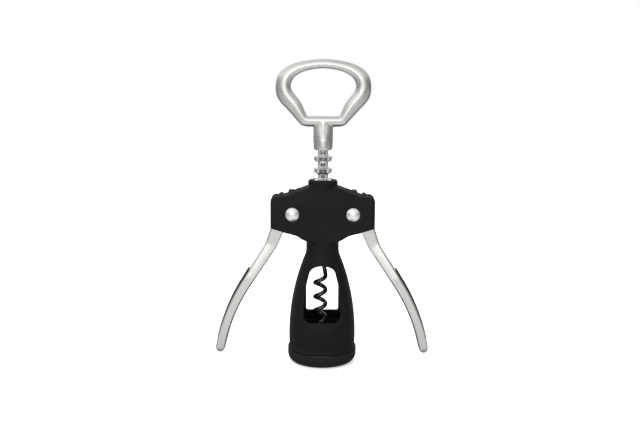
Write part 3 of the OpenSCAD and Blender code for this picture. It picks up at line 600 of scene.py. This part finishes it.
# the web between the hub and the neck, from the pivot
web_line = [(0, -EAR_R), (3.3, -13), (13, -9.4), (EAR_R, 0), (0, 0)]
web = swept("web", [
    [Vector((PIVOT.x + x * MM, y * MM, PIVOT.z + z * MM)) for x, z in web_line]
    for y in (-HUB_HALF_W, HUB_HALF_W)
])
cut(hub, web, "UNION")
cut(lever, hub, "UNION")
cut(lever, cylinder("fork", PIVOT, FORK_R * MM, FORK_W * MM, sides=96))
cut(lever, cylinder("hub_bore", PIVOT, HUB_BORE_R * MM, THROUGH * MM))
for a in (-40, 80, 200):
    way = Vector((math.cos(math.radians(a)), 0, math.sin(math.radians(a))))
    spot = PIVOT + way * RIVET_RING_R * MM
    cut(lever, cylinder("rivet_hole", spot, RIVET_R * MM, THROUGH * MM, sides=24))
smoothed(lever, 35)


def pad_ring(s):
    fade = (s - PAD_START) / PAD_LEN
    half_w = eased(s, HALF_WIDTH) - 1.2 - 1.6 * (max(0, fade - 0.8) / 0.2) ** 2
    rise = PAD_RISE * (1 - 0.85 * fade)
    across = lever_across(s)
    mid = lever_at(s) + across * (eased(s, THICKNESS) / 2 + (rise - PAD_SEAT) / 2)
    return section(mid, across, (rise + PAD_SEAT) / 2, half_w, PAD_SOFT, 40)


PAD_RINGS = 48
pad = swept(
    "pad", [pad_ring(PAD_START + PAD_LEN * k / PAD_RINGS) for k in range(PAD_RINGS + 1)]
)

for side in ("right", "left"):
    arm = lever if side == "right" else mirrored_copy(lever, "left_lever")
    strip = pad if side == "right" else mirrored_copy(pad, "left_pad")
    arm.name, strip.name = side + "_lever_casting", side + "_pad_strip"
    dress(arm, SATIN, side + "_lever", [side + "_lever_arm"])
    dress(strip, PAD_BLACK, side + "_lever", [side + "_thumb_pad"])

# ---- pivots ----
DOME_R, DOME_H = 4.3, 1.9
DOME_BALL = (DOME_R ** 2 + DOME_H ** 2) / (2 * DOME_H)
DOME_TOP = DOME_H + 0.3
SEAT = 9.3 * MM  # from the middle to the seats of the domes
PIN_R, PIN_LEN, STUD_R, STUD_LEN = 2.5, 18.6, 1.5, 16.0
DOME_STEPS = 14


def dome_line(stem_r, stem_low):
    """A domed head on its seat, and its stem, as [radius, height from the seat]."""
    rim = DOME_TOP - DOME_BALL + math.sqrt(DOME_BALL ** 2 - DOME_R ** 2)
    line = [[stem_r, stem_low], [stem_r, 0], [DOME_R - 0.1, 0], [DOME_R, 0.1], [DOME_R, rim - 0.06]]
    for k in range(DOME_STEPS):
        a = math.asin((DOME_R - 0.04) / DOME_BALL) * (1 - k / DOME_STEPS)
        line.append([DOME_BALL * math.sin(a), DOME_TOP - DOME_BALL + DOME_BALL * math.cos(a)])
    return line + [[0.05, DOME_TOP]]


def on_pivot(side, front):
    """Local Z runs out of the front or the back face, from the seat."""
    out = -1 if front else 1
    spot = Vector((side * PIVOT.x, out * SEAT, PIVOT.z))
    return Matrix.Translation(spot) @ Matrix.Rotation(-out * math.pi / 2, 4, "X")


for side, word in ((1, "right"), (-1, "left")):
    front, back = on_pivot(side, True), on_pivot(side, False)
    pin = turned(word + "_dome_pin", dome_line(PIN_R, -PIN_LEN), 64, place=front)
    stud = turned(word + "_dome_stud", dome_line(STUD_R, -STUD_LEN), 64, place=back)
    bore_middle = (side * PIVOT.x, 0.6 * MM, PIVOT.z)
    cut(pin, cylinder("stud_bore", bore_middle, (STUD_R + 0.01) * MM, 18 * MM))
    smoothed(pin, 40)
    dress(pin, PEARL, "frame", [word + "_pivot_pin"])
    dress(stud, PEARL, "frame", [word + "_pivot_stud"])

# ---- worm ----
WIRE_R, WORM_R, WORM_PITCH, WORM_TURNS = 1.35, 4.5, 8.8, 3.5
WORM_TIP, WORM_LEAN, POINT_TURNS = 22.4, 1.2, 0.55
FERRULE_LOW, TAIL_TOP = 71.4, 75.9
line_r = WORM_R - WIRE_R
shank_z = WORM_TIP + WORM_PITCH * WORM_TURNS


def on_circle(a, z, share=1.0):
    return Vector((share * (line_r * math.cos(a) - WORM_LEAN), share * line_r * math.sin(a), z))


worm_path = []
TURN_STEPS, SHANK_STEPS, WIRE_SIDES = 48, 44, 20
for k in range(int(WORM_TURNS * TURN_STEPS) + 1):
    t = k / TURN_STEPS
    grind = min(1, t / POINT_TURNS)
    worm_path.append((on_circle(math.pi * (1 + 2 * t), WORM_TIP + WORM_PITCH * t),
                      WIRE_R * (0.06 + 0.94 * grind ** 0.85)))
for k in range(1, SHANK_STEPS + 1):
    way = k / SHANK_STEPS
    turn = math.radians(40 * (1 - (1 - min(1, 3 * way)) ** 2))
    worm_path.append((on_circle(math.pi * (1 + 2 * WORM_TURNS) + turn,
                                shank_z + (FERRULE_LOW - shank_z) * way, 1 - way * way), WIRE_R))
worm_path.append((Vector((0, 0, TAIL_TOP)), WIRE_R))


def wire_ring(i):
    ahead = worm_path[min(len(worm_path) - 1, i + 1)][0]
    behind = worm_path[max(0, i - 1)][0]
    run = (ahead - behind).normalized() if i < len(worm_path) - 2 else Vector((0, 0, 1))
    a = math.pi * (1 + 2 * min(i / TURN_STEPS, WORM_TURNS))
    side = run.cross(Vector((math.cos(a), math.sin(a), 0))).normalized()
    out = side.cross(run)
    centre, r = worm_path[i]
    return [
        (centre + r * (out * math.cos(2 * math.pi * k / WIRE_SIDES)
                       + side * math.sin(2 * math.pi * k / WIRE_SIDES))) * MM
        for k in range(WIRE_SIDES)
    ]


worm = swept("worm_wire", [wire_ring(i) for i in range(len(worm_path))])
dress(worm, WORM_COAT, "screw", ["worm"])

# ---- pieces that keep their solids ----
for node, mat in (
    ("collar_bush", BUSH_BLACK), ("left_hub_washers", NYLON), ("right_hub_washers", NYLON),
    ("left_gear_sector", GEAR_BLACK), ("right_gear_sector", GEAR_BLACK),
    ("left_hub_bush", BRONZE), ("right_hub_bush", BRONZE),
    ("left_lever_rivets", SATIN), ("right_lever_rivets", SATIN), ("thrust_washer", NYLON),
    ("spindle", SATIN), ("cross_pin", SATIN), ("worm_ferrule", SATIN),
):
    coat_node(node, mat)


# ---- floor, room and lamps: levels are (share of the way, brightness) ----
FLOOR_R, FLOOR_Z = 1.6, -0.0002
# what the camera sees on top of the lit floor, by distance from the middle
LIFT_REACH = 0.5
FLOOR_LIFT = [(0.0, 0.5), (0.3, 0.6), (0.7, 1.0)]
# painted reflection: bright and dark bands of glow that only reflections see on the floor, from
# behind the object to in front of it
SWEEP_BACK, SWEEP_FRONT = 0.5, -1.0
PAINTED_SWEEP = [(0.0, 0.55), (0.12, 0.62), (0.19, 0.8), (0.26, 0.42), (0.333, 0.28), (0.353, 0.8),
               (0.392, 0.92), (0.467, 0.95), (0.567, 0.8), (0.6, 0.85), (0.667, 1.55), (0.72, 1.7),
               (0.765, 0.2), (1.0, 0.15)]
# the same painted bands, dimmer out to both sides
SIDE_REACH = 0.4
PAINTED_SWEEP_SIDES = [(0.0, 1.0), (0.2, 1.0), (0.45, 0.78), (0.7, 0.62), (1.0, 0.55)]
# painted shade in those reflections, darker right under the object
PAINTED_SHADE_SIZE = (0.05, 0.08)
PAINTED_SHADE_UNDER = [(0.0, 0.35), (0.7, 0.4), (1.0, 1.0)]
# the room's light from the front to the back, from below to above, and from the left to the right
ROOM_DEPTH = [(0.0, 2.1), (0.03, 1.4), (0.063, 0.85), (0.15, 0.5), (0.25, 0.4), (0.5, 0.36),
              (0.8, 0.42), (1.0, 0.5)]
ROOM_HEIGHT = [(0.0, 0.0), (0.5, 0.0), (0.6, 0.15), (0.75, 0.7), (0.93, 0.6), (1.0, 0.5)]
ROOM_SIDE = [(0.0, 1.0), (0.5, 0.95), (0.6, 0.82), (1.0, 0.62)]


def ramp(nodes, links, value, low, high, stops):
    """A level that follows value from low to high through stops of (share, level)."""
    spread = nodes.new("ShaderNodeMapRange")
    spread.inputs["From Min"].default_value = low
    spread.inputs["From Max"].default_value = high
    links.new(value, spread.inputs["Value"])
    made = nodes.new("ShaderNodeValToRGB")
    made.color_ramp.interpolation = "EASE"
    points = made.color_ramp.elements
    while len(points) < len(stops):
        points.new(0.5)
    for point, (share, level) in zip(points, stops):
        point.position = share
        point.color = (level, level, level, 1)
    links.new(spread.outputs["Result"], made.inputs["Fac"])
    return made.outputs["Color"]


def vector_math(nodes, links, operation, first, second=None):
    """A node on one or two vectors; a second that is a plain value goes on its socket."""
    node = nodes.new("ShaderNodeVectorMath")
    node.operation = operation
    links.new(first, node.inputs[0])
    if isinstance(second, tuple):
        node.inputs[1].default_value = second
    elif second is not None:
        links.new(second, node.inputs[1])
    return node.outputs["Value" if operation == "LENGTH" else "Vector"]


def mixed(nodes, links, share, first, second):
    node = nodes.new("ShaderNodeMixShader")
    for socket, source in zip(node.inputs, (share, first, second)):
        links.new(source, socket)
    return node.outputs["Shader"]


def floor():
    """White to the camera but for its soft shadow; to reflections it glows in painted bright and
    dark bands, with painted shade under the object.
    """
    bpy.ops.object.select_all(action="DESELECT")
    bpy.ops.mesh.primitive_circle_add(vertices=96, radius=FLOOR_R, fill_type="NGON",
                                      location=(0, 0, FLOOR_Z))
    bpy.ops.object.transform_apply(location=True)
    obj = bpy.context.object
    obj.name = "floor"
    mat = bpy.data.materials.new("floor_white")
    mat.use_nodes = True
    nodes, links = mat.node_tree.nodes, mat.node_tree.links
    nodes.clear()
    spot = nodes.new("ShaderNodeTexCoord").outputs["Object"]
    split = nodes.new("ShaderNodeSeparateXYZ")
    links.new(spot, split.inputs["Vector"])
    path = nodes.new("ShaderNodeLightPath")

    matte = nodes.new("ShaderNodeBsdfDiffuse")
    matte.inputs["Color"].default_value = (0.8, 0.8, 0.8, 1)
    lift = nodes.new("ShaderNodeEmission")
    away = vector_math(nodes, links, "LENGTH", spot)
    links.new(ramp(nodes, links, away, 0.0, LIFT_REACH, FLOOR_LIFT), lift.inputs["Color"])
    dark = nodes.new("ShaderNodeEmission")
    dark.inputs["Strength"].default_value = 0
    lit = nodes.new("ShaderNodeAddShader")
    links.new(matte.outputs["BSDF"], lit.inputs[0])
    links.new(mixed(nodes, links, path.outputs["Is Camera Ray"], dark.outputs["Emission"],
                    lift.outputs["Emission"]), lit.inputs[1])

    aside = nodes.new("ShaderNodeMath")
    aside.operation = "ABSOLUTE"
    links.new(split.outputs["X"], aside.inputs[0])
    # painted shade: the glow that reflections see is dimmed in an oval right under the object
    shrunk = vector_math(nodes, links, "MULTIPLY", spot, (1 / PAINTED_SHADE_SIZE[0], 1 / PAINTED_SHADE_SIZE[1], 1))
    reach = vector_math(nodes, links, "LENGTH", shrunk)
    sweep = ramp(nodes, links, split.outputs["Y"], SWEEP_BACK, SWEEP_FRONT, PAINTED_SWEEP)
    under = ramp(nodes, links, reach, 0.0, 1.0, PAINTED_SHADE_UNDER)
    side = ramp(nodes, links, aside.outputs["Value"], 0.0, SIDE_REACH, PAINTED_SWEEP_SIDES)
    graded = vector_math(nodes, links, "MULTIPLY", sweep, under)
    # painted reflection: for glossy rays the floor glows in these bands in place of lamps and dark
    # cards
    painted_reflection = nodes.new("ShaderNodeEmission")
    links.new(vector_math(nodes, links, "MULTIPLY", graded, side), painted_reflection.inputs["Color"])

    result = mixed(nodes, links, path.outputs["Is Glossy Ray"], lit.outputs["Shader"],
                   painted_reflection.outputs["Emission"])
    links.new(result, nodes.new("ShaderNodeOutputMaterial").inputs["Surface"])
    obj.data.materials.append(mat)


def world():
    """White to the camera; the light itself is brightest from the front and above."""
    sky = bpy.data.worlds.new("studio")
    bpy.context.scene.world = sky
    sky.use_nodes = True
    nodes, links = sky.node_tree.nodes, sky.node_tree.links
    nodes.clear()
    way = nodes.new("ShaderNodeSeparateXYZ")
    links.new(nodes.new("ShaderNodeTexCoord").outputs["Generated"], way.inputs["Vector"])
    depth = ramp(nodes, links, way.outputs["Y"], -1.0, 1.0, ROOM_DEPTH)
    height = ramp(nodes, links, way.outputs["Z"], -1.0, 1.0, ROOM_HEIGHT)
    side = ramp(nodes, links, way.outputs["X"], -1.0, 1.0, ROOM_SIDE)
    total = vector_math(nodes, links, "ADD", depth, height)
    room = nodes.new("ShaderNodeBackground")
    links.new(vector_math(nodes, links, "MULTIPLY", total, side), room.inputs["Color"])
    white = nodes.new("ShaderNodeBackground")
    white.inputs["Color"].default_value = (1, 1, 1, 1)
    result = mixed(nodes, links, nodes.new("ShaderNodeLightPath").outputs["Is Camera Ray"],
                   room.outputs["Background"], white.outputs["Background"])
    links.new(result, nodes.new("ShaderNodeOutputWorld").inputs["Surface"])


def lamp(name, place, target, size, power):
    data = bpy.data.lights.new(name, "AREA")
    data.shape = "SQUARE"
    data.size = size
    data.energy = power
    obj = bpy.data.objects.new(name, data)
    bpy.context.scene.collection.objects.link(obj)
    obj.location = place
    obj.rotation_euler = (Vector(target) - Vector(place)).to_track_quat("-Z", "Y").to_euler()
    obj.visible_glossy = False


floor()
world()
lamp("key", (-0.5, -0.8, 0.9), (0, 0, 0.08), 0.8, 5)
lamp("top", (0.05, 0.55, 0.95), (0, 0, 0.05), 0.9, 5)

# ---- camera ----
FOCAL_PX, PICTURE_W = 933.0, 640.0
AXIS_SHIFT_PX = 2.7
EYE = (0, -0.558, 0.182)
LOOKS_DOWN, ROLL = 9.2, 0.35
camera_data = bpy.data.cameras.new("camera")
camera = bpy.data.objects.new("camera", camera_data)
bpy.context.scene.collection.objects.link(camera)
camera_data.sensor_width = 36
camera_data.lens = 36 * FOCAL_PX / PICTURE_W
camera_data.shift_x = -AXIS_SHIFT_PX / PICTURE_W
camera_data.clip_start, camera_data.clip_end = 0.01, 20
camera.matrix_world = (
    Matrix.Translation(EYE)
    @ Matrix.Rotation(math.radians(90 - LOOKS_DOWN), 4, "X")
    @ Matrix.Rotation(math.radians(ROLL), 4, "Z")
)
bpy.context.scene.camera = camera
bpy.context.scene.view_settings.view_transform = "Standard"
